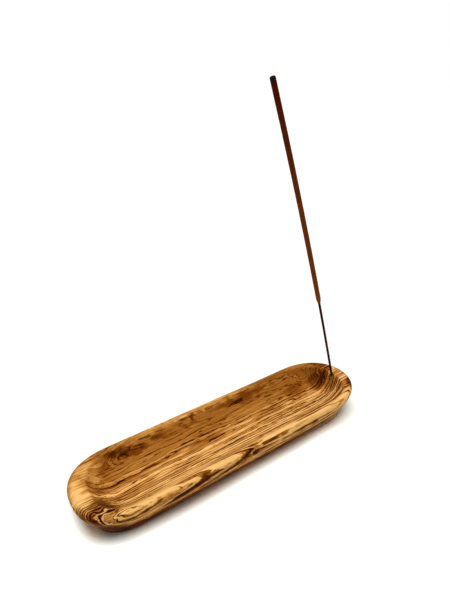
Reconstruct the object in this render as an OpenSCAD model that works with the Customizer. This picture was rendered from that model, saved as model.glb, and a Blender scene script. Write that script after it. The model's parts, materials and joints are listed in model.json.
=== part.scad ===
// Incense bowl: a long dish carved from one block of olive wood, with a stick hole drilled at the edge
// of its hollow, and an incense stick that stands in the hole and leans over the hollow.
// The origin is the centre of the base. +X runs along the dish to the stick hole, and +Z is up.

/* [Dish] */
// Length of the dish over its rim
dish_len = 210; // [200:1:230]
// Width of the dish over its rim
dish_w = 53.5; // [48:0.5:60]
// Height of the dish
dish_h = 22; // [20:0.5:26]
// How far the side walls draw in from the rim down to the base
side_draft = 6.6; // [5:0.1:8]
// How far the end walls draw in from the rim down to the base
end_draft = 9; // [7:0.1:11]
// Length of the curved end that has the stick hole
hole_end_len = 36; // [32:0.5:42]
// Length of the plain curved end
plain_end_len = 35; // [32:0.5:42]
// Squareness of the end that has the stick hole, where 2 is an ellipse
hole_end_square = 2.13; // [2:0.01:2.8]
// Squareness of the plain end, where 2 is an ellipse
plain_end_square = 2.5; // [2:0.01:2.8]
// Size of the eased edge round the base
base_ease = 1.6; // [0.8:0.1:2.4]

/* [Rim] */
// Height of the rim's rounded outer edge
rim_round = 4; // [2:0.1:5]
// Distance from the rim's outer edge in to its crest, along the sides
rim_crest = 2.3; // [1.5:0.1:2.3]
// Mean distance from the rim's outer edge in to the edge of the hollow, along the sides
side_land = 4.6; // [4.4:0.1:6]
// Distance from the rim's outer edge in to the edge of the hollow, at the ends
end_land = 10.2; // [8:0.1:12]
// Size of the eased edge of the hollow
edge_ease = 0.8; // [0.4:0.1:0.8]

/* [Hollow] */
// How far the hand-carved hollow lies towards the +Y side of the dish
hollow_shift = -1.2; // [-1.2:0.1:1.2]
// Thickness of the floor at the bottom of the hollow
floor_t = 12; // [9:0.1:15]
// Run of the hollow's ends from its edge in to the bottom
end_run = 17; // [14:0.5:20]
// Width of the flat strip along the bottom
strip_w = 3; // [2:0.5:8]
// Fullness of the hollow's section, where 2 is a parabola and more is steeper at the edge
hollow_full = 2.2; // [2:0.1:3]

/* [Stick hole] */
// Distance from the end of the rim to the middle of the hole's mouth
hole_inset = 11; // [10.5:0.1:12.5]
// Diameter of the hole
hole_d = 1.95; // [1.85:0.05:2.2]
// Depth of the hole along its axis
hole_depth = 10; // [7:0.5:12]
// Lean of the hole from upright, towards the hollow
hole_lean = 17.5; // [14:0.5:18]

/* [Stick] */
// Diameter of the bamboo splint
splint_d = 1.75; // [1.4:0.05:1.8]
// Diameter of the paste rolled on the splint
coat_d = 3.2; // [2.6:0.1:3.6]
// Length of the stick from its foot to its tip
stick_len = 224.5; // [200:0.5:240]
// Length of the splint that is left bare
bare_len = 81; // [60:0.5:100]
// Length over which the paste thins out at its lower end
coat_taper = 3.2; // [2:0.1:5]
// Radius of the slight bow that the leaning stick takes
bow_r = 3400; // [2500:50:8000]

/* [Hidden] */
$fn = 48;

// Facets round each curved end, up the rim's round, over the hollow's edge and down its wall
end_steps = 32;
rim_steps = 7;
edge_steps = 3;
hollow_steps = 12;

// Facets round the paste, along it and over the round on its tip
coat_sides = 24;
coat_steps = 12;
tip_steps = 4;

// The rim's round starts where it runs on from the slope of the side walls
wall_h = dish_h - rim_round;
rim_start = -atan(side_draft / wall_h * rim_round / rim_crest);

// The ends draw in more than the sides, so their round is as much wider
end_crest = rim_crest * end_draft / side_draft;

// Run of the hollow's sides from its edge in to the strip along the bottom
side_run = dish_w / 2 - side_land - strip_w / 2;

// Share of the hollow's run at which its eased edge ends
ease_end = 0.06;

// Level section of the dish: inset of its sides, inset of its ends, height, and offset along Y
function wall_ring(z) =
    let (up = z / wall_h)
    [side_draft * (1 - up), end_draft * (1 - up), z, 0];
function rim_ring(angle) =
    let (turn = 1 - cos(angle))
    [rim_crest * turn, end_crest * turn, wall_h + rim_round * sin(angle), 0];
function hollow_z(q) = floor_t + (dish_h - floor_t) * pow(1 - q, hollow_full);
function hollow_ring(q) =
    [side_land + side_run * q, end_land + end_run * q, hollow_z(q), hollow_shift];

// The eased edge turns from the level land over a sharp corner's place to the hollow's wall
land_ring = [side_land - edge_ease, end_land - edge_ease, dish_h, hollow_shift];
corner_ring = [side_land, end_land, dish_h, hollow_shift];
function edge_ring(t) =
    (1 - t) * (1 - t) * land_ring + 2 * t * (1 - t) * corner_ring + t * t * hollow_ring(ease_end);

// Sections from the base up the wall, over the rim and its land, and down the hollow to its bottom
base_ring = [side_draft + base_ease, end_draft + base_ease, 0, 0];
dish_rings = concat(
    [base_ring, wall_ring(base_ease)],
    [for (i = [0 : rim_steps]) rim_ring(rim_start + (90 - rim_start) * i / rim_steps)],
    [for (i = [0 : edge_steps]) edge_ring(i / edge_steps)],
    [for (i = [1 : hollow_steps]) hollow_ring(ease_end + (1 - ease_end) * i / hollow_steps)]
);

// One curved end of a section, as half a superellipse from its -Y side round to its +Y side
function end_curve(ring, length, square) =
    let (reach = length - ring[1], half_w = dish_w / 2 - ring[0])
    [for (i = [0 : end_steps])
        let (t = -90 + 180 * i / end_steps)
        [
            dish_len / 2 - length + reach * pow(abs(cos(t)), 2 / square),
            half_w * sign(t) * pow(abs(sin(t)), 2 / square),
            ring[2]
        ]];

// The whole section, counter-clockwise from above
function dish_points(ring) = concat(
    [for (p = end_curve(ring, hole_end_len, hole_end_square)) [p[0], ring[3] + p[1], p[2]]],
    [for (p = end_curve(ring, plain_end_len, plain_end_square)) [-p[0], ring[3] - p[1], p[2]]]
);

// The hole's mouth lies on the hollow's end wall, and its axis leans from there down to its foot
mouth_q = (hole_inset - end_land) / end_run;
mouth = [dish_len / 2 - hole_inset, 0, hollow_z(mouth_q)];
lean_axis = [-sin(hole_lean), 0, cos(hole_lean)];
foot = mouth - hole_depth * lean_axis;

// The drill starts above the mouth, so that it clears the wall all round
drill_run = 4;

// The foot stands just off the bottom of the hole, and the stick is straight as far as the mouth
foot_gap = 0.02;
seat_len = hole_depth + 2;
bow_len = stick_len - seat_len;
coat_start = bare_len + coat_taper - seat_len;

// Paste over the end of the splint, and the round on its tip
tip_cover = 1.5;
tip_round = 0.7;

// How thick the paste still is where it ends, and the clearance of its bore
coat_edge_t = 0.2;
bore_gap = 0.02;
bore_r = splint_d / 2 + bore_gap;

// Fragments of a full turn that give the slight bow a few facets
bow_fn = 2400;

function bow_angle(s) = s / bow_r * 180 / PI;

// Round sections of the paste, as radius and place along the bow: from the tip down the outside to
// the thin lower edge, and up inside along the splint to its end
coat_rings = concat(
    [for (i = [0 : tip_steps])
        let (t = 90 - 90 * i / tip_steps)
        [coat_d / 2 - tip_round * (1 - cos(t)), bow_len - tip_round * (1 - sin(t))]],
    [for (i = [1 : coat_steps])
        [coat_d / 2, bow_len - tip_round + (coat_start - bow_len + tip_round) * i / coat_steps]],
    [[bore_r + coat_edge_t, coat_start - coat_taper]],
    [for (i = [0 : coat_steps])
        let (low = coat_start - coat_taper)
        [bore_r, low + (bow_len - tip_cover - low) * i / coat_steps]]
);

// Points round one section of the paste, clockwise when seen from its tip
function coat_points(ring) = [
    for (i = [0 : coat_sides - 1])
        let (t = 360 * i / coat_sides, angle = bow_angle(ring[1]), reach = bow_r + ring[0] * cos(t))
        [reach * cos(angle) - bow_r, -ring[0] * sin(t), seat_len + reach * sin(angle)]
];

// Closed skin over a row of sections that have as many points each
module loft(sections) {
    size = len(sections[0]);
    last = len(sections) - 1;
    bands = [
        for (i = [0 : last - 1], j = [0 : size - 1])
            let (a = i * size + j, b = i * size + (j + 1) % size)
            each [[a, a + size, b + size], [a, b + size, b]]
    ];
    first_cap = [for (j = [0 : size - 1]) j];
    last_cap = [for (j = [size - 1 : -1 : 0]) last * size + j];
    polyhedron(
        points = [for (section = sections) each section],
        faces = concat([first_cap], bands, [last_cap]),
        convexity = 4
    );
}

// Stands a stick's piece in the hole, with its foot at the bottom
module at_foot() {
    translate(foot + foot_gap * lean_axis)
        rotate([0, -hole_lean, 0])
            children();
}

module dish() {
    color("peru")
        difference() {
            loft([for (ring = dish_rings) dish_points(ring)]);
            translate(foot)
                rotate([0, -hole_lean, 0])
                    cylinder(d = hole_d, h = hole_depth + drill_run);
        }
}

module bamboo_splint() {
    color("maroon")
        at_foot() {
            cylinder(d = splint_d, h = seat_len);
            translate([-bow_r, 0, seat_len])
                rotate([90, 0, 0])
                    rotate_extrude(angle = bow_angle(bow_len - tip_cover), $fn = bow_fn)
                        translate([bow_r, 0])
                            circle(d = splint_d, $fn = 48);
        }
}

module incense_coating() {
    color("saddlebrown")
        at_foot()
            loft([for (ring = coat_rings) coat_points(ring)]);
}

dish();
bamboo_splint();
incense_coating();
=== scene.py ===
"""Looks of an olive-wood incense bowl: a carved dish and the incense stick that stands in it.

The stick hole is at the +X end of the dish, its plain end points to -X, and its near side is -Y.
"""

import json
import math

import bmesh
import bpy
import numpy as np
from mathutils import Matrix, Vector, noise


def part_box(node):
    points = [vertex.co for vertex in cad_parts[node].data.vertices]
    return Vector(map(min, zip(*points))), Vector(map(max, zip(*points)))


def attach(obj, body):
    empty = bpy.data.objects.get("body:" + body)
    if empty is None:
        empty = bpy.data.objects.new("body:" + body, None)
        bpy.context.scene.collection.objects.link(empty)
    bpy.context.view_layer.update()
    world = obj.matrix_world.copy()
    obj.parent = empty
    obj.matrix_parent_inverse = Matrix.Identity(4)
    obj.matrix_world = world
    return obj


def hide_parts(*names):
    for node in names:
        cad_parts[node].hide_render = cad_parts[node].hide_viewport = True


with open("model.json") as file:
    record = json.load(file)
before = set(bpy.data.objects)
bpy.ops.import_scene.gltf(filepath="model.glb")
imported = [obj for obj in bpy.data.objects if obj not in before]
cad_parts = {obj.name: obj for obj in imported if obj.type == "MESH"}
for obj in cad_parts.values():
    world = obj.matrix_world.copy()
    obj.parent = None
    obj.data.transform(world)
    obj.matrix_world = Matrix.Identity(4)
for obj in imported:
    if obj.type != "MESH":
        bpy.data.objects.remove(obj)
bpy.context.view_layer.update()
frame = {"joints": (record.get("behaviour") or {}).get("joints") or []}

bl_info = {
    "name": "Olive-wood incense bowl",
    "version": (1, 0, 0),
    "blender": (4, 5, 0),
    "location": "3D View > Sidebar > Incense",
    "description": "Builds the carved dish, the incense stick and the studio round the packed part",
    "category": "Object",
}

MM = 0.001
MM_PER_METRE = 1000.0

# Places, sizes and the stick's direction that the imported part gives, in metres
DISH_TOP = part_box("dish")[1].z
SPLINT_LOW, SPLINT_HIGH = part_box("bamboo_splint")
COAT_LOW, COAT_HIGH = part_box("incense_coating")
LIFT_AXIS = Vector(frame["joints"][0]["axis"]).normalized()

# Height of the picture in pixels, width of the camera's sensor in mm, and width of the floor in metres
PICTURE_HEIGHT = 600
SENSOR_MM = 36.0
FLOOR_WIDTH = 20.0

# Edges that turn by more than this stay sharp to the eye
DISH_SHARP = math.radians(40)
STICK_SHARP = math.radians(50)


def linear(hex_colour):
    """Linear red, green and blue of an sRGB hex colour."""
    channels = [int(hex_colour[i:i + 2], 16) / 255 for i in (1, 3, 5)]
    return tuple(c / 12.92 if c <= 0.04045 else ((c + 0.055) / 1.055) ** 2.4 for c in channels)


def distance(name, description, default):
    """Property for a length in metres."""
    return bpy.props.FloatProperty(
        name=name, description=description, default=default, subtype="DISTANCE", unit="LENGTH", precision=5
    )


def angle(name, description, degrees):
    """Property for an angle that is written in degrees."""
    return bpy.props.FloatProperty(
        name=name, description=description, default=math.radians(degrees), subtype="ANGLE"
    )


def number(name, description, default):
    """Property for a plain number."""
    return bpy.props.FloatProperty(name=name, description=description, default=default)


def vector(name, description, default, subtype):
    """Property for a place or a direction."""
    return bpy.props.FloatVectorProperty(
        name=name, description=description, default=default, subtype=subtype
    )


def colour(name, description, default):
    """Property for a colour that is written as sRGB hex."""
    return bpy.props.FloatVectorProperty(
        name=name, description=description, default=linear(default), subtype="COLOR", min=0, max=1
    )


class DishSettings(bpy.types.PropertyGroup):
    """Shape of the carved dish."""

    length: distance("Length", "Length over the rim", 210.0 * MM)
    width: distance("Width", "Width over the rim", 53.5 * MM)
    side_draft: distance("Side draft", "How far the side walls draw in down to the base", 6.6 * MM)
    end_draft: distance("End draft", "How far the end walls draw in down to the base", 9.0 * MM)
    hole_end: distance("Hole end", "Length of the curved end that has the stick hole", 36.0 * MM)
    plain_end: distance("Plain end", "Length of the plain curved end", 35.0 * MM)
    hole_end_square: number("Hole end squareness", "2 is an ellipse, more is squarer", 2.13)
    plain_end_square: number("Plain end squareness", "2 is an ellipse, more is squarer", 2.5)
    base_ease: distance("Base ease", "Round on the edge of the base", 1.8 * MM)
    rim_round: distance("Rim round", "Height of the rounded outer edge of the rim", 4.0 * MM)
    rim_crest: distance("Rim crest", "From the outer edge in to the crest, along the sides", 2.3 * MM)
    near_round: distance("Near rim round", "Height of the round where the near rim is fuller", 4.5 * MM)
    near_crest: distance("Near rim crest", "From edge to crest where the near rim is fuller", 2.0 * MM)
    near_belly: distance("Near rim belly", "How far the near wall swells out below the fuller rim", 1.2 * MM)
    side_land: distance("Side land", "From the outer edge in to the hollow, along the sides", 4.6 * MM)
    end_land: distance("End land", "From the outer edge in to the hollow, at the ends", 10.2 * MM)
    edge_ease: distance("Edge ease", "Size of the eased edge of the hollow", 0.8 * MM)
    hollow_shift: distance("Hollow shift", "How far the hand-carved hollow lies towards +Y", -1.2 * MM)
    floor_thickness: distance("Floor", "Thickness of wood under the hollow", 12.0 * MM)
    end_run: distance("End run", "Run of the hollow's ends down to the bottom", 17.0 * MM)
    strip: distance("Strip", "Width of the flat strip along the bottom of the hollow", 3.0 * MM)
    fullness: number("Fullness", "Section of the hollow, where 2 is a parabola and more is steeper", 2.2)
    hole_diameter: distance("Hole diameter", "Diameter of the drilled stick hole", 1.95 * MM)
    hole_depth: distance("Hole depth", "Depth of the drilled stick hole", 10.0 * MM)
    hand_wave: distance("Hand wave", "How far hand sanding leaves the surface from true", 0.22 * MM)


class WoodSettings(bpy.types.PropertyGroup):
    """Colours of the oiled olive wood, from its darkest lines to its palest bands."""

    ink: colour("Ink", "Heart of the darkest lines", "#330D02")
    bark: colour("Bark", "Dark lines and knots", "#66330A")
    umber: colour("Umber", "Soft shade between the bands", "#8F4F10")
    tan: colour("Tan", "Plain wood", "#B5762F")
    gold: colour("Gold", "Clear golden wood", "#D2924A")
    honey: colour("Honey", "Light bands", "#EDB163")
    cream: colour("Cream", "Palest bands and the sanded rim", "#FFC778")
    # Slight tint of the wood towards the far side, where it is also darker
    far_side: colour("Heart", "Tint of the heartwood", "#FCFCF2")


class StickSettings(bpy.types.PropertyGroup):
    """Shape and colours of the incense stick."""

    length: distance("Length", "Foot to tip", 224.5 * MM)
    bare: distance("Bare length", "Length of splint below the paste", 81.0 * MM)
    seat: distance("Straight seat", "Length above the foot that is straight", 12.0 * MM)
    bow: distance("Bow radius", "Radius of the slight bow of the leaning stick", 3.4)
    taper: distance("Paste taper", "Length over which the paste thins out at its lower end", 3.2 * MM)
    tip_cover: distance("Tip cover", "Paste over the end of the splint", 1.5 * MM)
    tip_round: distance("Tip round", "Round on the tip of the paste", 0.7 * MM)
    dye: colour("Dye", "Dark red dye of the bamboo", "#3A080B")
    paste_low: colour("Paste below", "Rolled incense paste at its lower end", "#874411")
    paste_high: colour("Paste above", "Rolled incense paste near the tip", "#4E1003")
    char: colour("Char", "Scorched end of the paste", "#1E1712")


class StageSettings(bpy.types.PropertyGroup):
    """Camera, floor and light."""

    azimuth: angle("Azimuth", "Camera's turn from looking along +Y", -34.892)
    elevation: angle("Elevation", "Camera's tilt down", 26.281)
    eye: vector("Eye", "Place of the camera", (-0.13327, -0.18476, 0.22296), "TRANSLATION")
    focal_pixels: number("Focal length in pixels", "Focal length, on a picture 600 pixels high", 451.0)
    floor: colour("Floor", "Plain pale floor", "#EFF3EE")
    floor_gain: number("Floor gain", "How many times brighter the floor looks than its paint", 1.2)
    # Painted light: the floor before the dish looks this many times brighter, which makes the object's
    # shadow fainter there
    painted_front_gain: number("Front gain", "The same before the dish, where the window lights it most", 2.2)
    light: number("Light", "Strength of the soft window light", 2.8)
    light_spread: angle("Light spread", "Angle that the window fills", 46)
    light_from: vector("Light from", "Direction towards the window", (0.03, -0.02, 0.99), "DIRECTION")
    room_light: number("Room light", "Strength of the light from all round", 0.11)


class IncenseSettings(bpy.types.PropertyGroup):
    """Everything that a user would change."""

    dish: bpy.props.PointerProperty(type=DishSettings)
    wood: bpy.props.PointerProperty(type=WoodSettings)
    stick: bpy.props.PointerProperty(type=StickSettings)
    stage: bpy.props.PointerProperty(type=StageSettings)


def settings():
    """All property groups of the scene."""
    return bpy.context.scene.incense


# Sockets of a node that mixes colours, whose names stand for other kinds too
MIX_SHARE = 0
MIX_FIRST = 6
MIX_SECOND = 7
MIX_RESULT = 2


def add(tree, kind, inputs=(), out=0, **options):
    """Adds a node with its options, sets or links its inputs, and gives one output, or all for None."""
    made = tree.nodes.new(kind)
    for name, value in options.items():
        setattr(made, name, value)
    for socket, value in inputs.items() if isinstance(inputs, dict) else enumerate(inputs):
        if isinstance(value, bpy.types.NodeSocket):
            tree.links.new(value, made.inputs[socket])
        else:
            made.inputs[socket].default_value = value
    return made.outputs if out is None else made.outputs[out]


def new_material(name):
    """Empty node material and its tree."""
    material = bpy.data.materials.new(name)
    material.use_nodes = True
    material.node_tree.nodes.clear()
    return material, material.node_tree


# Lumps of the wood's uneven growth: size in mm along the grain, across the layers and within them,
# detail, and a seed
UNEVEN = {
    "bend": ((75, 15, 15), 1.0, 2.3),
    "wander": ((24, 5, 5), 1.0, 8.1),
    "jitter": ((7, 1.4, 1.4), 1.0, 4.7),
    "patch": ((32, 7, 12), 2.0, 6.4),
    "fade": ((30, 3, 9), 1.0, 1.9),
    "fibre": ((14, 0.5, 0.5), 2.0, 3.2),
}

# How far in mm such lumps swing the layers from side to side
SWINGS = {"bend": 6.5, "wander": 4.0, "jitter": 1.7}

# A noise runs from 0 to 1 round this middle
NOISE_MIDDLE = 0.5

# Bands of growth: distance apart in mm, detail, a seed, and how far they swing from light to dark
BANDS = ((5.2, 1.0, 3.0, 0.28), (2.3, 1.5, 52.0, 0.64))

# Dark growth lines: place across the layers in mm, half width in mm, and how much darker they are
VEINS = (
    # Near outer wall and rim
    (-53.0, 0.88, 0.57), (-50.0, 0.75, 0.60), (-41.5, 0.31, 0.33), (-36.4, 1.00, 0.63), (-33.6, 1.25, 0.66),
    (-29.0, 1.00, 0.63), (-25.5, 1.12, 0.63), (-22.0, 1.06, 0.60), (-19.0, 0.94, 0.63), (-16.0, 0.75, 0.54),
    (-13.0, 0.62, 0.54),
    # Floor of the hollow
    (-11.8, 0.52, 0.96), (-10.1, 0.63, 1.08), (-8.4, 0.46, 0.88), (-6.4, 0.48, 0.84), (-4.4, 0.58, 0.72),
    (-3.0, 0.46, 0.88), (-0.2, 0.35, 0.52), (1.2, 0.35, 0.56), (2.6, 0.35, 0.56), (5.2, 0.41, 0.88),
    (7.2, 0.35, 0.48), (10.2, 0.35, 0.36), (13.0, 0.39, 0.24),
    # Far rim and outer wall
    (20.5, 0.56, 0.27), (23.0, 0.50, 0.21), (26.0, 0.62, 0.33), (30.0, 0.50, 0.21),
)

# Ends of the dish where the layers lean less: start and full place in mm along X, the same across the
# dish, and how much less they lean
UPRIGHT_ENDS = (
    ((58.0, 88.0), (-16.0, -2.0), 0.4),
    ((-62.0, -88.0), (-14.0, -4.0), 0.8),
)

# Places with a middle and a reach in mm: the near corner of the plain end, where the layers curl up and
# where their lines are strongest, and the clear land of that end
CURLED_CORNER = ((-91, -17, 18), (13, 8, 9))
STRONG_CORNER = ((-90, -18, 19), (11, 7, 8))
CLEAR_LAND = ((-102, 7, 21), (18, 19, 8))

# Knots that the layers bend round: middle and reach in mm, and how far they push the layers, in mm
KNOTS = (
    ((-92, -18, 19), (14, 11, 10), 4.5),
    ((-1, -26, 20), (14, 5, 5), 2.0),
    ((-70, 18, 18), (12, 7, 6), -4.0),
    ((80, 12, 16), (14, 9, 8), 4.0),
)

# Soft-edged marks: middle in mm, reach in mm along X, Y and Z, and how much lighter they are
MARKS = (
    # Land and rim
    ((-104, 4, 22), (8, 18, 4), 0.26),
    ((-91, 15, 19), (10, 10, 6), 0.28),
    ((-15, 23.5, 22), (60, 3.5, 3), 0.20),
    ((-30, -23, 21), (60, 3.5, 4), 0.14),
    ((48, -25, 21), (62, 5, 4), 0.22),
    ((-66, -22, 20), (20, 4, 4.5), 0.28),
    ((-80, -26, 21), (12, 3, 3), 0.40),
    ((20, -21.5, 20), (20, 5, 6), 0.42),
    ((101, 7, 21.5), (5, 4, 4), 0.32),
    ((97, 16, 21), (9, 7, 4), -0.22),
    ((100, -15, 21), (7, 6, 4), -0.44),
    ((-100, -12, 21), (7, 6, 4), -0.14),
    ((-1, -26.5, 20), (9, 2.6, 2.6), -0.34),
    # Floor and inner walls of the hollow
    ((-42, -16, 17), (20, 5.5, 5), 0.28),
    ((20, -12.5, 14.2), (70, 4, 4), 0.12),
    ((52, 2.5, 12), (12, 3, 3), 0.14),
    ((-70, -16.5, 17), (12, 2.2, 3.5), -0.15),
    ((-70, -6, 12), (16, 5, 4), -0.13),
    ((25, -2, 12), (50, 3.5, 3), -0.13),
    ((26, -16.5, 16), (20, 2.5, 4), -0.12),
    ((66, -19.5, 18), (34, 2.6, 4), -0.24),
    ((24, 19, 18.5), (24, 4, 4), -0.15),
    ((66, 9, 13), (12, 6, 5), -0.14),
    # The inner wall at the stick-hole end is darker: dark figure in the wood there, with painted shade where
    # the wall faces away from the light
    ((86, 5, 15), (10, 8, 7), -0.22),
    ((91, -4, 17), (7, 8, 6), -0.06),
    # Dark blotches on the far inner wall
    ((-74, 19.5, 19.5), (3.5, 3, 3), -0.30),
    ((-68, 18.5, 18.5), (5, 3.5, 3.5), -0.26),
    ((-60, 16, 17.2), (11, 3.5, 4), -0.20),
    # Dark corner of the plain end
    ((-92, -15, 18.5), (10, 9, 7), -0.34),
    ((-87, -20, 20), (3, 3, 3), -0.30),
    ((-92, -20, 6), (13, 9, 9), -0.46),
    # Near outer wall
    # Painted shade along the foot of the near wall, under its overhang
    ((-25, -23, 3), (110, 8, 9), -0.40),
    ((-50, -27, 16.5), (27, 4, 5.5), -0.28),
    ((-82, -25.5, 18), (15, 3.4, 5), -0.20),
    # Painted shade low on the near wall towards the plain end
    ((-80, -22, 4.5), (24, 4, 4), -0.16),
    ((-16, -27.5, 19), (14, 3.5, 3.5), -0.28),
    ((44, -26, 14), (20, 3.5, 4), -0.22),
    ((8, -24, 10), (20, 5, 5), 0.20),
    ((88, -23.5, 15), (16, 6, 8), 0.34),
)


def near_place(tree, place, middle, reach, full=0.5, gone=1.15):
    """1 in the middle of a place and 0 past its reach, with these shares of the reach for both."""
    scale = tuple(1 / r for r in reach)
    offset = tuple(-m / r for m, r in zip(middle, reach))
    apart = add(tree, "ShaderNodeVectorMath", (place, scale, offset), operation="MULTIPLY_ADD")
    apart = add(tree, "ShaderNodeVectorMath", (apart,), out="Value", operation="LENGTH")
    return add(tree, "ShaderNodeMapRange", (apart, gone, full), interpolation_type="SMOOTHSTEP")


def across_layers(tree, phase, spacing_mm, seed, detail):
    """Noise that changes only from layer to layer, at this distance."""
    where = add(tree, "ShaderNodeMath", (phase, 1 / spacing_mm, seed), operation="MULTIPLY_ADD")
    inputs = {"W": where, "Scale": 1.0, "Detail": detail}
    return add(tree, "ShaderNodeTexNoise", inputs, noise_dimensions="1D")


def wood_layers(tree, mm):
    """Place of each point across the growth layers, in mm, and the point in the layers' own directions."""
    x, y, z = add(tree, "ShaderNodeSeparateXYZ", (mm,), out=None)

    # The layers lean over: each mm of height moves them as far as this many mm across the dish
    lean = -0.9
    floor_mm = settings().dish.floor_thickness / MM
    above = add(tree, "ShaderNodeMath", (z, floor_mm), operation="SUBTRACT")
    phase = add(tree, "ShaderNodeMath", (above, lean, y), operation="MULTIPLY_ADD")
    within = add(tree, "ShaderNodeMath", (y, -lean, above), operation="MULTIPLY_ADD")

    # They drift across the dish towards its plain end
    drift_x = (-90.0, -20.0)
    drift_mm = 1.1
    drift = add(tree, "ShaderNodeMapRange", (x, *drift_x, drift_mm, 0.0))
    phase = add(tree, "ShaderNodeMath", (phase, drift), operation="ADD")

    # They stand up at both ends, away from the near side
    for along, across, upright in UPRIGHT_ENDS:
        end = add(tree, "ShaderNodeMapRange", (x, *along, 0.0, upright), interpolation_type="SMOOTHSTEP")
        side = add(tree, "ShaderNodeMapRange", (y, *across), interpolation_type="SMOOTHSTEP")
        end = add(tree, "ShaderNodeMath", (end, side), operation="MULTIPLY")
        phase = add(tree, "ShaderNodeMath", (above, end, phase), operation="MULTIPLY_ADD")

    # On the near side they run out of the block, rising from its plain end
    run_x = (-130.0, 20.0)
    run_mm = -24.0
    near_mm = (-8.0, -30.0)
    run = add(tree, "ShaderNodeMapRange", (x, *run_x, run_mm, 0.0), interpolation_type="SMOOTHSTEP")
    near = add(tree, "ShaderNodeMapRange", (phase, *near_mm), interpolation_type="SMOOTHSTEP")
    phase = add(tree, "ShaderNodeMath", (run, near, phase), operation="MULTIPLY_ADD")

    # They curl up in the near corner of the plain end
    curl_mm = 5.0
    curl_swing_mm = 14.0
    curl = add(tree, "ShaderNodeTexNoise", {"Vector": mm, "Scale": 1 / curl_mm, "Detail": 1.0})
    curl = add(tree, "ShaderNodeMath", (curl, NOISE_MIDDLE), operation="SUBTRACT")
    corner = near_place(tree, mm, *CURLED_CORNER, full=0.3, gone=1.1)
    curl = add(tree, "ShaderNodeMath", (curl, corner), operation="MULTIPLY")
    phase = add(tree, "ShaderNodeMath", (curl, curl_swing_mm, phase), operation="MULTIPLY_ADD")

    # They bend round the knots
    for middle, reach, push in KNOTS:
        close = near_place(tree, mm, middle, reach, full=0.0, gone=1.0)
        phase = add(tree, "ShaderNodeMath", (close, push, phase), operation="MULTIPLY_ADD")
    return phase, add(tree, "ShaderNodeCombineXYZ", (x, phase, within))


def plain_wood(tree, mm, phase, patch):
    """Lightness of the wood without its lines and marks, and how far each point lies towards the far side.
    """

    # Paler and darker patches
    patch_range = (0.25, 0.75)
    patch_tone = (0.93, 1.03)
    tone = add(tree, "ShaderNodeMapRange", (patch, *patch_range, *patch_tone))

    # The wood is darker towards the far side, where it also takes a slight tint
    far_side_y = (-5.0, 14.0)
    far_side_shade = -0.31
    y = add(tree, "ShaderNodeSeparateXYZ", (mm,), out="Y")
    far_side = add(tree, "ShaderNodeMapRange", (y, *far_side_y), interpolation_type="SMOOTHSTEP")
    tone = add(tree, "ShaderNodeMath", (far_side, far_side_shade, tone), operation="MULTIPLY_ADD")

    # The outer walls are cut along the grain, so that the layers show there as broad streaks
    outside_slope = (0.3, -0.1)
    streak_mm = 3.6
    streak_swing = 1.7
    normal = add(tree, "ShaderNodeNewGeometry", out="Normal")
    end_on, _, upward = add(tree, "ShaderNodeSeparateXYZ", (normal,), out=None)
    outside = add(tree, "ShaderNodeMapRange", (upward, *outside_slope))
    streak = across_layers(tree, phase, streak_mm, seed=17.0, detail=2.0)
    streak = add(tree, "ShaderNodeMath", (streak, streak_swing, -streak_swing / 2), operation="MULTIPLY_ADD")
    tone = add(tree, "ShaderNodeMath", (outside, streak, tone), operation="MULTIPLY_ADD")

    # End grain drinks more oil and is darker
    end_shade = -0.22
    end_on = add(tree, "ShaderNodeMath", (end_on,), operation="ABSOLUTE")
    tone = add(tree, "ShaderNodeMath", (end_on, end_shade, tone), operation="MULTIPLY_ADD")
    return tone, far_side


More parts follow.
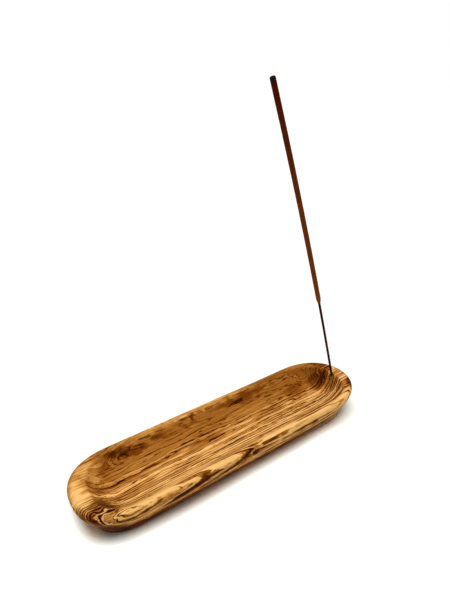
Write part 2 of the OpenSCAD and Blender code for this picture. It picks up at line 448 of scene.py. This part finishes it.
def growth_lines(tree, mm, phase, uneven, tone):
    """Lightness of plain wood with its growth bands, fibre, hairlines and dark lines."""

    # Bands and fibre stand out more on the near side, and most in its curled corner
    near_mm = (-12.0, -20.0)
    near_gain = 1.7
    inputs = (phase, *near_mm, 1.0, near_gain)
    gain = add(tree, "ShaderNodeMapRange", inputs, interpolation_type="SMOOTHSTEP")
    corner = near_place(tree, mm, *STRONG_CORNER, full=0.4, gone=1.1)
    gain = add(tree, "ShaderNodeMath", (gain, corner), operation="ADD")

    # The bands are stronger in some layers than in others
    group_mm = 6.5
    group_range = (0.35, 0.65)
    group_gain = (0.4, 1.6)
    group = across_layers(tree, phase, group_mm, seed=11.0, detail=0.0)
    group = add(tree, "ShaderNodeMapRange", (group, *group_range, *group_gain))
    group = add(tree, "ShaderNodeMath", (group, gain), operation="MULTIPLY")
    for spacing, detail, seed, swing in BANDS:
        band = across_layers(tree, phase, spacing, seed=seed, detail=detail)
        band = add(tree, "ShaderNodeMath", (band, swing, -swing / 2), operation="MULTIPLY_ADD")
        tone = add(tree, "ShaderNodeMath", (band, group, tone), operation="MULTIPLY_ADD")
    fibre_swing = 0.5
    inputs = (uneven["fibre"], fibre_swing, -fibre_swing / 2)
    fibre = add(tree, "ShaderNodeMath", inputs, operation="MULTIPLY_ADD")
    tone = add(tree, "ShaderNodeMath", (fibre, gain, tone), operation="MULTIPLY_ADD")

    # The land of the plain end has fainter lines
    clear_share = -0.65
    clear = near_place(tree, mm, *CLEAR_LAND, full=0.6, gone=1.1)
    lined = add(tree, "ShaderNodeMath", (clear, clear_share, 1.0), operation="MULTIPLY_ADD")

    # Hairlines lie where a slow noise crosses its middle, and fade in and out along their run
    hair_mm = 3.0
    hair_range = (0.065, 0.0)
    hair_shade = -0.42
    fade_range = (0.34, 0.58)
    faded_hair = 0.15
    hair = across_layers(tree, phase, hair_mm, seed=31.0, detail=1.0)
    hair = add(tree, "ShaderNodeMath", (hair, NOISE_MIDDLE), operation="SUBTRACT")
    hair = add(tree, "ShaderNodeMath", (hair,), operation="ABSOLUTE")
    inputs = (hair, *hair_range, 0.0, hair_shade)
    hair = add(tree, "ShaderNodeMapRange", inputs, interpolation_type="SMOOTHSTEP")
    fade = add(tree, "ShaderNodeMapRange", (uneven["fade"], *fade_range, faded_hair, lined))
    fade = add(tree, "ShaderNodeMath", (fade, corner), operation="ADD")
    tone = add(tree, "ShaderNodeMath", (hair, fade, tone), operation="MULTIPLY_ADD")

    # Dark lines fade less
    faded_line = 0.6
    fade = add(tree, "ShaderNodeMapRange", (uneven["fade"], *fade_range, faded_line, 1.0))
    fade = add(tree, "ShaderNodeMath", (fade, lined), operation="MULTIPLY")
    for middle, half_width, depth in VEINS:
        away = add(tree, "ShaderNodeMath", (phase, middle), operation="SUBTRACT")
        away = add(tree, "ShaderNodeMath", (away,), operation="ABSOLUTE")
        inputs = (away, half_width, 0.0, 0.0, -depth)
        line = add(tree, "ShaderNodeMapRange", inputs, interpolation_type="SMOOTHSTEP")
        tone = add(tree, "ShaderNodeMath", (line, fade, tone), operation="MULTIPLY_ADD")
    return tone


def soft_marks(tree, mm, layers, tone):
    """Lightness of lined wood with its paler and darker marks, which have ragged edges."""
    lump_mm = 6.25
    ragged_mm = 8.0
    inputs = {"Vector": layers, "Scale": 1 / lump_mm, "Detail": 3.0}
    ragged = add(tree, "ShaderNodeTexNoise", inputs, out="Color")
    ragged = add(tree, "ShaderNodeVectorMath", (ragged, (NOISE_MIDDLE,) * 3), operation="SUBTRACT")
    shifted = add(tree, "ShaderNodeVectorMath", (ragged, (ragged_mm,) * 3, mm), operation="MULTIPLY_ADD")
    for middle, reach, lighter in MARKS:
        mark = near_place(tree, shifted, middle, reach)
        tone = add(tree, "ShaderNodeMath", (mark, lighter, tone), operation="MULTIPLY_ADD")
    return tone


def wood_tone(tree, mm):
    """Lightness of the wood, 0 in its darkest lines and 1 in its palest bands, how far it lies towards the
    far side, and its fibre.
    """
    phase, layers = wood_layers(tree, mm)
    uneven = {}
    for name, (size, detail, seed) in UNEVEN.items():
        scale = tuple(1 / s for s in size)
        where = add(tree, "ShaderNodeVectorMath", (layers, scale, (seed,) * 3), operation="MULTIPLY_ADD")
        uneven[name] = add(tree, "ShaderNodeTexNoise", {"Vector": where, "Scale": 1.0, "Detail": detail})
    for name, swing in SWINGS.items():
        shift = add(tree, "ShaderNodeMath", (uneven[name], swing, -swing / 2), operation="MULTIPLY_ADD")
        phase = add(tree, "ShaderNodeMath", (phase, shift), operation="ADD")
    tone, far_side = plain_wood(tree, mm, phase, uneven["patch"])
    tone = growth_lines(tree, mm, phase, uneven, tone)
    return soft_marks(tree, mm, layers, tone), far_side, uneven["fibre"]


def olive_wood():
    """Olive wood, sanded and oiled: satin, golden, with dark wandering growth lines.

    The growth layers are solid, so the carved hollow and the round ends slice them into long lines
    on the floor, broad bands on the rim and swirls at the corners, as in the real block.
    """
    wood = settings().wood
    material, tree = new_material("oiled_olive_wood")
    place = add(tree, "ShaderNodeTexCoord", out="Object")
    mm = add(tree, "ShaderNodeVectorMath", (place, (MM_PER_METRE,) * 3), operation="MULTIPLY")
    tone, far_side, fibre = wood_tone(tree, mm)

    ramp = add(tree, "ShaderNodeValToRGB", (tone,))
    stops = ((0.2, wood.ink), (0.4, wood.bark), (0.56, wood.umber), (0.71, wood.tan), (0.82, wood.gold),
             (0.93, wood.honey), (1.0, wood.cream))
    elements = ramp.node.color_ramp.elements
    while len(elements) < len(stops):
        elements.new(1.0)
    for element, (position, hue) in zip(elements, stops):
        element.position = position
        element.color = (*hue, 1)
    inputs = {MIX_SHARE: far_side, MIX_FIRST: ramp, MIX_SECOND: (*wood.far_side, 1)}
    base = add(tree, "ShaderNodeMix", inputs, out=MIX_RESULT, data_type="RGBA", blend_type="MULTIPLY")

    # Oil leaves a low satin gloss, a little rougher along the fibre
    fibre_range = (0.2, 0.8)
    roughness = (0.42, 0.58)
    rough = add(tree, "ShaderNodeMapRange", (fibre, *fibre_range, *roughness))
    bump = add(tree, "ShaderNodeBump", {"Height": tone, "Strength": 0.25, "Distance": 0.1 * MM})
    surface = add(tree, "ShaderNodeBsdfPrincipled", {
        "Base Color": base, "Roughness": rough, "Normal": bump, "IOR": 1.47,
        "Specular IOR Level": 0.02, "Specular Tint": (*wood.honey, 1),
    })
    add(tree, "ShaderNodeOutputMaterial", (surface,), out=None)
    return material


def dyed_bamboo():
    """Split bamboo, dyed dark red: matt, with fibres along its length."""
    material, tree = new_material("dyed_bamboo")
    place = add(tree, "ShaderNodeTexCoord", out="Object")
    fibre_mm = (0.25, 0.25, 14.0)
    fibre_range = (0.3, 0.7)
    fibre_tint = (0.8, 1.25)
    scale = tuple(MM_PER_METRE / s for s in fibre_mm)
    where = add(tree, "ShaderNodeVectorMath", (place, scale), operation="MULTIPLY")
    fibre = add(tree, "ShaderNodeTexNoise", {"Vector": where, "Scale": 1.0, "Detail": 3.0})
    tint = add(tree, "ShaderNodeMapRange", (fibre, *fibre_range, *fibre_tint))
    inputs = {"Vector": settings().stick.dye, "Scale": tint}
    base = add(tree, "ShaderNodeVectorMath", inputs, operation="SCALE")
    bump = add(tree, "ShaderNodeBump", {"Height": fibre, "Strength": 0.4, "Distance": 0.05 * MM})
    surface = add(tree, "ShaderNodeBsdfPrincipled", {
        "Base Color": base, "Roughness": 0.65, "Normal": bump, "IOR": 1.5, "Specular IOR Level": 0.05,
    })
    add(tree, "ShaderNodeOutputMaterial", (surface,), out=None)
    return material


def incense_paste(tip):
    """Rolled incense paste: powder of wood and bark bound with gum, dry, matt and finely grained."""
    stick = settings().stick
    material, tree = new_material("incense_paste")
    place = add(tree, "ShaderNodeTexCoord", out="Object")
    grit_mm = 0.35
    cloud_mm = 9.0
    mottle_range = (0.6, 1.4)
    mottle_tint = (0.6, 1.4)
    inputs = {"Vector": place, "Scale": MM_PER_METRE / grit_mm, "Detail": 3.0}
    grit = add(tree, "ShaderNodeTexNoise", inputs)
    inputs = {"Vector": place, "Scale": MM_PER_METRE / cloud_mm, "Detail": 2.0}
    cloud = add(tree, "ShaderNodeTexNoise", inputs)
    mottle = add(tree, "ShaderNodeMath", (grit, cloud), operation="ADD")
    tint = add(tree, "ShaderNodeMapRange", (mottle, *mottle_range, *mottle_tint))

    # It darkens towards the tip, whose end is scorched
    scorch_range = (4.5 * MM, 1.2 * MM)
    from_tip = add(tree, "ShaderNodeVectorMath", (place, tip), out="Value", operation="DISTANCE")
    height = add(tree, "ShaderNodeMapRange", (from_tip, stick.length - stick.bare, 0.0))
    inputs = {MIX_SHARE: height, MIX_FIRST: (*stick.paste_low, 1), MIX_SECOND: (*stick.paste_high, 1)}
    base = add(tree, "ShaderNodeMix", inputs, out=MIX_RESULT, data_type="RGBA")
    base = add(tree, "ShaderNodeVectorMath", {"Vector": base, "Scale": tint}, operation="SCALE")
    scorch = add(tree, "ShaderNodeMapRange", (from_tip, *scorch_range))
    inputs = {MIX_SHARE: scorch, MIX_FIRST: base, MIX_SECOND: (*stick.char, 1)}
    base = add(tree, "ShaderNodeMix", inputs, out=MIX_RESULT, data_type="RGBA")
    bump = add(tree, "ShaderNodeBump", {"Height": grit, "Strength": 0.6, "Distance": 0.08 * MM})
    surface = add(tree, "ShaderNodeBsdfPrincipled", {
        "Base Color": base, "Roughness": 0.85, "Normal": bump, "IOR": 1.45, "Specular IOR Level": 0.04,
    })
    add(tree, "ShaderNodeOutputMaterial", (surface,), out=None)
    return material


def seen_directly(tree):
    """1 for rays from the camera, also by way of gloss and glass, and 0 for rays that carry light."""
    camera, gloss, glass = (
        add(tree, "ShaderNodeLightPath", out=name)
        for name in ("Is Camera Ray", "Is Glossy Ray", "Is Transmission Ray")
    )
    either = add(tree, "ShaderNodeMath", (camera, gloss), operation="MAXIMUM")
    return add(tree, "ShaderNodeMath", (either, glass), operation="MAXIMUM")


def floor_paint():
    """Matt pale floor that looks white to the eye and keeps the object's shadow, with painted light before
    the dish that makes the shadow fainter there.
    """
    stage = settings().stage
    material, tree = new_material("matt_floor_paint")
    place = add(tree, "ShaderNodeTexCoord", out="Object")
    x, y, _ = add(tree, "ShaderNodeSeparateXYZ", (place,), out=None)

    # Painted light: the floor before the dish looks brighter still to the camera, which makes the object's
    # shadow fainter there; the patch has soft edges
    front_y = (30 * MM, 0.0)
    front_x = (100 * MM, 50 * MM)
    front = add(tree, "ShaderNodeMapRange", (y, *front_y), interpolation_type="SMOOTHSTEP")
    beside = add(tree, "ShaderNodeMapRange", (x, *front_x), interpolation_type="SMOOTHSTEP")
    front = add(tree, "ShaderNodeMath", (front, beside), operation="MULTIPLY")
    inputs = {"Value": front, "To Min": stage.floor_gain, "To Max": stage.painted_front_gain}
    looks = add(tree, "ShaderNodeMapRange", inputs)
    inputs = {"Value": seen_directly(tree), "To Min": 1.0, "To Max": looks}
    gain = add(tree, "ShaderNodeMapRange", inputs)
    paint = add(tree, "ShaderNodeVectorMath", {"Vector": stage.floor, "Scale": gain}, operation="SCALE")
    matt = add(tree, "ShaderNodeBsdfDiffuse", (paint,))
    add(tree, "ShaderNodeOutputMaterial", (matt,), out=None)
    return material


def link_object(name, mesh, material):
    """Object in the scene with one material."""
    made = bpy.data.objects.new(name, mesh)
    bpy.context.scene.collection.objects.link(made)
    mesh.materials.append(material)
    return made


def loft_mesh(name, rings, sharp_angle):
    """Mesh of quads over a row of rings with as many points each, with coinciding points joined."""
    size = len(rings[0])
    last = len(rings) - 1
    quads = [
        (i * size + j, i * size + (j + 1) % size, (i + 1) * size + (j + 1) % size, (i + 1) * size + j)
        for i in range(last) for j in range(size)
    ]
    mesh = bpy.data.meshes.new(name)
    mesh.from_pydata(np.concatenate(rings).tolist(), [], quads)
    shape = bmesh.new()
    shape.from_mesh(mesh)
    bmesh.ops.remove_doubles(shape, verts=shape.verts, dist=0.001 * MM)
    bmesh.ops.recalc_face_normals(shape, faces=shape.faces)
    shape.to_mesh(mesh)
    shape.free()
    mesh.shade_smooth()
    mesh.set_sharp_from_angle(angle=sharp_angle)
    return mesh


class DishShape:
    """Sections of the carved dish, by the same formulas as the solid part."""

    # Points round each end and along each side
    END_STEPS = 64
    SIDE_STEPS = 70

    # Rings over the base, its eased edge, the wall, the rim, the land, the hollow's edge and its wall
    BASE_RINGS = 6
    EASE_RINGS = 5
    WALL_RINGS = 12
    RIM_RINGS = 16
    LAND_RINGS = 5
    EDGE_RINGS = 7
    HOLLOW_RINGS = 34

    # Share of the hollow's run at which its eased edge ends, and shares of the way in over its strip
    EASE_END = 0.06
    STRIP_SHARES = (0.5, 1.0)

    # The fuller near rim: share of the half width where it starts, share over which it grows, how far it
    # reaches along the dish each way, and the length over which it fades out there
    NEAR_FROM = 0.5
    NEAR_OVER = 0.4
    NEAR_REACH = 90 * MM
    NEAR_FADE = 50 * MM

    def __init__(self):
        s = self.sizes = settings().dish
        self.half_length = s.length / 2
        self.half_width = s.width / 2
        self.wall_height = DISH_TOP - s.rim_round
        self.side_run = self.half_width - s.side_land - s.strip / 2

    def end_curve(self, side_inset, end_inset, length, square):
        """Half a superellipse from the -Y side to the +Y side of the +X end."""
        turn = np.linspace(-math.pi / 2, math.pi / 2, self.END_STEPS + 1)
        along, across = np.abs(np.cos(turn)), np.sin(turn)
        x = self.half_length - length + (length - end_inset) * along ** (2 / square)
        y = (self.half_width - side_inset) * np.sign(across) * np.abs(across) ** (2 / square)
        return np.stack([x, y], axis=1)

    def ring(self, side_inset, end_inset, z, shift=0.0):
        """One level section, counter-clockwise from above."""
        s = self.sizes
        right = self.end_curve(side_inset, end_inset, s.hole_end, s.hole_end_square)
        left = -self.end_curve(side_inset, end_inset, s.plain_end, s.plain_end_square)
        side = np.linspace(0, 1, self.SIDE_STEPS + 1)[1:-1, None]
        far = right[-1] + (left[0] - right[-1]) * side
        near = left[-1] + (right[0] - left[-1]) * side
        plan = np.concatenate([right, far, left, near]) + (0, shift)
        return np.column_stack([plan, np.full(len(plan), z)])

    def toward_spine(self, ring, share, shift=0.0):
        """A flat ring drawn in towards the middle line of the dish."""
        s = self.sizes
        inner = ring.copy()
        inner[:, 0] = np.clip(ring[:, 0], s.plain_end - self.half_length, self.half_length - s.hole_end)
        inner[:, 1] = shift
        return ring + (inner - ring) * share

    def hollow_ring(self, q):
        """Section of the hollow, from its edge at 0 to its bottom at 1."""
        s = self.sizes
        z = s.floor_thickness + (DISH_TOP - s.floor_thickness) * (1 - q) ** s.fullness
        return self.ring(s.side_land + self.side_run * q, s.end_land + s.end_run * q, z, s.hollow_shift)

    def outside(self, rim_round, rim_crest, belly):
        """Sections up the outer wall, which swells by the belly on its way, and over the rim."""
        s = self.sizes
        rows = []
        wall_height = DISH_TOP - rim_round
        slope = math.atan((s.side_draft + belly) / wall_height * rim_round / rim_crest)
        end_crest = rim_crest * s.end_draft / s.side_draft
        wall_end = wall_height - rim_round * math.sin(slope)
        for z in np.linspace(s.base_ease, wall_end, self.WALL_RINGS)[1:-1]:
            down = 1 - z / wall_height
            rows.append(self.ring((s.side_draft + belly) * down - belly, s.end_draft * down, z))
        for turn in np.linspace(-slope, math.pi / 2, self.RIM_RINGS):
            share = 1 - math.cos(turn)
            rise = rim_round * math.sin(turn)
            rows.append(self.ring(rim_crest * share - belly, end_crest * share, wall_height + rise))
        return rows

    def near_share(self, ring):
        """How far each point of a section belongs to the fuller rim of the near side."""
        x, y, _ = ring.T
        near = np.clip((-y / self.half_width - self.NEAR_FROM) / self.NEAR_OVER, 0, 1)
        from_plain = np.clip((x + self.NEAR_REACH) / self.NEAR_FADE, 0, 1)
        from_hole = np.clip((self.NEAR_REACH - x) / self.NEAR_FADE, 0, 1)
        share = near * (from_plain * from_hole)
        return (share * share * (3 - 2 * share))[:, None]

    def rings(self):
        """Sections from the middle of the base, up the wall, over the rim and down into the hollow."""
        s = self.sizes
        base = self.ring(s.side_draft + s.base_ease, s.end_draft + s.base_ease, 0)
        rows = [self.toward_spine(base, share) for share in np.linspace(1, 0, self.BASE_RINGS)]
        for turn in np.linspace(0, math.pi / 2, self.EASE_RINGS)[1:]:
            rise = s.base_ease * (1 - math.cos(turn))
            ease = s.base_ease * (1 - math.sin(turn))
            left = 1 - rise / self.wall_height
            rows.append(self.ring(s.side_draft * left + ease, s.end_draft * left + ease, rise))
        plain = self.outside(s.rim_round, s.rim_crest, 0.0)
        full = self.outside(s.near_round, s.near_crest, s.near_belly)
        rows += [a + (b - a) * self.near_share(a) for a, b in zip(plain, full)]
        crest = rows[-1]
        corner = self.ring(s.side_land, s.end_land, DISH_TOP, s.hollow_shift)
        land = self.ring(s.side_land - s.edge_ease, s.end_land - s.edge_ease, DISH_TOP, s.hollow_shift)
        rows += [crest + (land - crest) * share for share in np.linspace(0, 1, self.LAND_RINGS)[1:]]
        wall = self.hollow_ring(self.EASE_END)
        for t in np.linspace(0, 1, self.EDGE_RINGS)[1:]:
            rows.append((1 - t) ** 2 * land + 2 * t * (1 - t) * corner + t ** 2 * wall)
        rows += [self.hollow_ring(q) for q in np.linspace(self.EASE_END, 1, self.HOLLOW_RINGS)[1:]]
        bottom = rows[-1]
        rows += [self.toward_spine(bottom, share, s.hollow_shift) for share in self.STRIP_SHARES]
        return rows


def sand_by_hand(mesh, wave):
    """Moves the surface in and out in slow waves, as hand sanding leaves it, and keeps the base flat."""
    wave_length = 34 * MM
    for vertex in mesh.vertices:
        if vertex.co.z > wave:
            shift = noise.noise(Vector(vertex.co) / wave_length) * wave
            vertex.co += Vector(vertex.normal) * shift


def drill(piece, foot, axis, diameter, depth):
    """Drills a round hole into a mesh piece, with a bit that reaches past the hole's mouth."""
    past_mouth = 4 * MM
    sides = 48
    run = depth + past_mouth
    bpy.ops.mesh.primitive_cylinder_add(vertices=sides, radius=diameter / 2, depth=run)
    bit = bpy.context.object
    lean = axis.to_track_quat("Z", "Y").to_matrix().to_4x4()
    bit.matrix_world = Matrix.Translation(foot + axis * run / 2) @ lean
    cut = piece.modifiers.new("stick_hole", "BOOLEAN")
    cut.object = bit
    cut.solver = "EXACT"
    bpy.context.view_layer.update()
    drilled = bpy.data.meshes.new_from_object(piece.evaluated_get(bpy.context.evaluated_depsgraph_get()))
    piece.modifiers.clear()
    piece.data = drilled
    bpy.data.objects.remove(bit)
    drilled.set_sharp_from_angle(angle=DISH_SHARP)


class StickLine:
    """Middle line of the stick: straight in its seat, then slightly bowed towards the hollow."""

    def __init__(self):
        self.sizes = settings().stick
        self.radius = (SPLINT_HIGH.y - SPLINT_LOW.y) / 2
        self.axis = LIFT_AXIS
        lean_sin, lean_cos = -self.axis.x, self.axis.z
        self.foot = Vector((
            SPLINT_HIGH.x - self.radius * lean_cos,
            (SPLINT_HIGH.y + SPLINT_LOW.y) / 2,
            SPLINT_LOW.z + self.radius * lean_sin,
        ))
        self.side = Vector((self.axis.z, 0, -self.axis.x))

    def at(self, along):
        """Point of the line this far from the foot, and the direction across it in the plane of its bow."""
        s = self.sizes
        if along <= s.seat:
            return self.foot + self.axis * along, self.side
        turn = (along - s.seat) / s.bow
        across = self.side * math.cos(turn) + self.axis * math.sin(turn)
        centre = self.foot + self.axis * s.seat - self.side * s.bow
        return centre + across * s.bow, across

    def ring(self, along, radii):
        """Closed ring round the line with one radius for each point."""
        point, across = self.at(along)
        turns = np.linspace(0, 2 * math.pi, len(radii), endpoint=False)
        return np.array([
            point + across * (r * math.cos(t)) + Vector((0, r * math.sin(t), 0))
            for r, t in zip(radii, turns)
        ])


def aim_camera(scene, stage):
    """Camera at the photographed angle."""
    camera = bpy.data.objects.new("camera", bpy.data.cameras.new("camera"))
    scene.collection.objects.link(camera)
    camera.data.sensor_width = SENSOR_MM
    camera.data.lens = stage.focal_pixels * SENSOR_MM / PICTURE_HEIGHT
    camera.data.clip_start = 10 * MM
    back = Vector((
        math.sin(stage.azimuth) * math.cos(stage.elevation),
        -math.cos(stage.azimuth) * math.cos(stage.elevation),
        math.sin(stage.elevation),
    ))
    right = Vector((math.cos(stage.azimuth), math.sin(stage.azimuth), 0))
    up = back.cross(right)
    camera.matrix_world = Matrix.Translation(stage.eye) @ Matrix((right, up, back)).transposed().to_4x4()
    scene.camera = camera


def light_room(scene, stage):
    """Soft light from a window overhead, in a room that looks white and adds a little light all round."""
    window = bpy.data.objects.new("soft_window", bpy.data.lights.new("soft_window", "SUN"))
    window.data.angle = stage.light_spread
    window.data.energy = stage.light
    window.rotation_euler = Vector(stage.light_from).to_track_quat("Z", "Y").to_euler()
    scene.collection.objects.link(window)

    world = bpy.data.worlds.new("white_room")
    scene.world = world
    world.use_nodes = True
    tree = world.node_tree
    tree.nodes.clear()
    inputs = {"Value": seen_directly(tree), "To Min": stage.room_light, "To Max": 1.0}
    level = add(tree, "ShaderNodeMapRange", inputs)
    room = add(tree, "ShaderNodeBackground", ((1, 1, 1, 1), level))
    add(tree, "ShaderNodeOutputWorld", (room,), out=None)


class IncensePiece:
    """What the operators share."""

    bl_options = {"REGISTER", "UNDO"}


class INCENSE_OT_set_stage(IncensePiece, bpy.types.Operator):
    """Makes the camera, the pale floor and the soft light"""

    bl_idname = "incense.set_stage"
    bl_label = "Set the stage"

    def execute(self, context):
        scene = context.scene
        stage = settings().stage
        scene.view_settings.view_transform = "Standard"
        aim_camera(scene, stage)
        bpy.ops.mesh.primitive_plane_add(size=FLOOR_WIDTH)
        floor = context.object
        floor.name = "floor"
        floor.data.materials.append(floor_paint())
        light_room(scene, stage)
        return {"FINISHED"}


class INCENSE_OT_carve_dish(IncensePiece, bpy.types.Operator):
    """Carves the olive-wood dish and drills its stick hole"""

    bl_idname = "incense.carve_dish"
    bl_label = "Carve the dish"

    def execute(self, context):
        sizes = settings().dish
        mesh = loft_mesh("dish_body", DishShape().rings(), DISH_SHARP)
        sand_by_hand(mesh, sizes.hand_wave)
        dish = link_object("dish_body", mesh, olive_wood())
        line = StickLine()
        drill(dish, line.foot, line.axis, sizes.hole_diameter, sizes.hole_depth)
        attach(dish, "dish")
        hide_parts("dish")
        return {"FINISHED"}


class INCENSE_OT_split_splint(IncensePiece, bpy.types.Operator):
    """Makes the dyed bamboo splint"""

    bl_idname = "incense.split_splint"
    bl_label = "Split the splint"

    # Points round the splint, and rings along it
    SIDES = 20
    RINGS = 70

    # Splitting leaves soft corners: how many, how far the section is flattened between them, and their turn
    CORNERS = 5
    FLAT_SHARE = 0.05
    CORNER_TURN = 0.6

    # Worn edges of both ends: share of the radius that is left, and length
    END_SHARE = 0.86
    END_EASE = 0.15 * MM

    def execute(self, context):
        line = StickLine()
        end = line.sizes.length - line.sizes.tip_cover
        turns = np.linspace(0, 2 * math.pi, self.SIDES, endpoint=False)
        flat = (1 + np.cos(self.CORNERS * turns + self.CORNER_TURN)) / 2
        radii = line.radius * (1 - self.FLAT_SHARE * flat)
        closed = np.zeros(self.SIDES)
        rings = [line.ring(0.0, closed), line.ring(0.0, radii * self.END_SHARE)]
        stations = np.linspace(self.END_EASE, end - self.END_EASE, self.RINGS)
        rings += [line.ring(along, radii) for along in stations]
        rings += [line.ring(end, radii * self.END_SHARE), line.ring(end, closed)]
        splint = link_object("splint", loft_mesh("splint", rings, STICK_SHARP), dyed_bamboo())
        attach(splint, "stick")
        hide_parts("bamboo_splint")
        return {"FINISHED"}


class INCENSE_OT_roll_paste(IncensePiece, bpy.types.Operator):
    """Rolls the incense paste on the splint"""

    bl_idname = "incense.roll_paste"
    bl_label = "Roll the paste"

    # Points round the paste, and rings over its tip, along it, over its taper and along its bore
    SIDES = 32
    TIP_RINGS = 6
    RINGS = 150
    TAPER_RINGS = 8
    BORE_RINGS = 40

    # Clearance of the bore, and how thick the paste still is where it ends
    BORE_GAP = 0.02 * MM
    EDGE_THICKNESS = 0.2 * MM

    # How much rounder than a cone the taper is, where 1 is a cone
    TAPER_POWER = 1.4

    # Lumps that hand rolling leaves: height, length along the stick, and how quickly they change round it
    LUMP = 0.045 * MM
    LUMP_LENGTH = 7 * MM
    LUMPS_ROUND = 1.3

    def rolled(self, along, radius):
        """Radii round the paste, uneven as hand rolling leaves them."""
        turns = np.linspace(0, 2 * math.pi, self.SIDES, endpoint=False)
        place = along / self.LUMP_LENGTH
        uneven = [
            noise.noise((place, self.LUMPS_ROUND * math.cos(t), self.LUMPS_ROUND * math.sin(t)))
            for t in turns
        ]
        return np.full(self.SIDES, radius - self.LUMP) + self.LUMP * np.array(uneven)

    def execute(self, context):
        line = StickLine()
        s = line.sizes
        outer = (COAT_HIGH.y - COAT_LOW.y) / 2
        bore = line.radius + self.BORE_GAP
        closed = np.zeros(self.SIDES)

        # From the tip down the outside, in to the thin lower edge and up the bore
        rings = [line.ring(s.length, closed)]
        for turn in np.linspace(math.pi / 2, 0, self.TIP_RINGS):
            along = s.length - s.tip_round * (1 - math.sin(turn))
            radius = outer - s.tip_round * (1 - math.cos(turn))
            rings.append(line.ring(along, self.rolled(s.length, radius)))
        low = s.bare + s.taper
        stations = np.linspace(s.length - s.tip_round, low, self.RINGS)[1:]
        rings += [line.ring(along, self.rolled(along, outer)) for along in stations]
        for share in np.linspace(0, 1, self.TAPER_RINGS)[1:]:
            along = low - s.taper * share
            radius = outer + (bore + self.EDGE_THICKNESS - outer) * share ** self.TAPER_POWER
            rings.append(line.ring(along, self.rolled(along, radius)))
        end = s.length - s.tip_cover
        stations = np.linspace(s.bare, end, self.BORE_RINGS)
        rings += [line.ring(along, np.full(self.SIDES, bore)) for along in stations]
        rings.append(line.ring(end, closed))

        tip, _ = line.at(s.length)
        paste = link_object("paste", loft_mesh("paste", rings, STICK_SHARP), incense_paste(tip))
        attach(paste, "stick")
        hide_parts("incense_coating")
        return {"FINISHED"}


STEPS = (INCENSE_OT_set_stage, INCENSE_OT_carve_dish, INCENSE_OT_split_splint, INCENSE_OT_roll_paste)


class INCENSE_PT_panel(bpy.types.Panel):
    """Lists the pieces of the incense bowl"""

    bl_idname = "INCENSE_PT_panel"
    bl_label = "Incense bowl"
    bl_space_type = "VIEW_3D"
    bl_region_type = "UI"
    bl_category = "Incense"

    def draw(self, context):
        for step in STEPS:
            self.layout.operator(step.bl_idname)


CLASSES = (
    DishSettings, WoodSettings, StickSettings, StageSettings, IncenseSettings, *STEPS, INCENSE_PT_panel,
)


def register():
    """Registers the classes and the scene's settings."""
    for item in CLASSES:
        bpy.utils.register_class(item)
    bpy.types.Scene.incense = bpy.props.PointerProperty(type=IncenseSettings)


def unregister():
    """Takes the settings and the classes out again."""
    del bpy.types.Scene.incense
    for item in reversed(CLASSES):
        bpy.utils.unregister_class(item)


def main():
    """Builds the stage and every piece."""
    register()
    bpy.ops.incense.set_stage()
    bpy.ops.incense.carve_dish()
    bpy.ops.incense.split_splint()
    bpy.ops.incense.roll_paste()


if __name__ == "__main__":
    main()
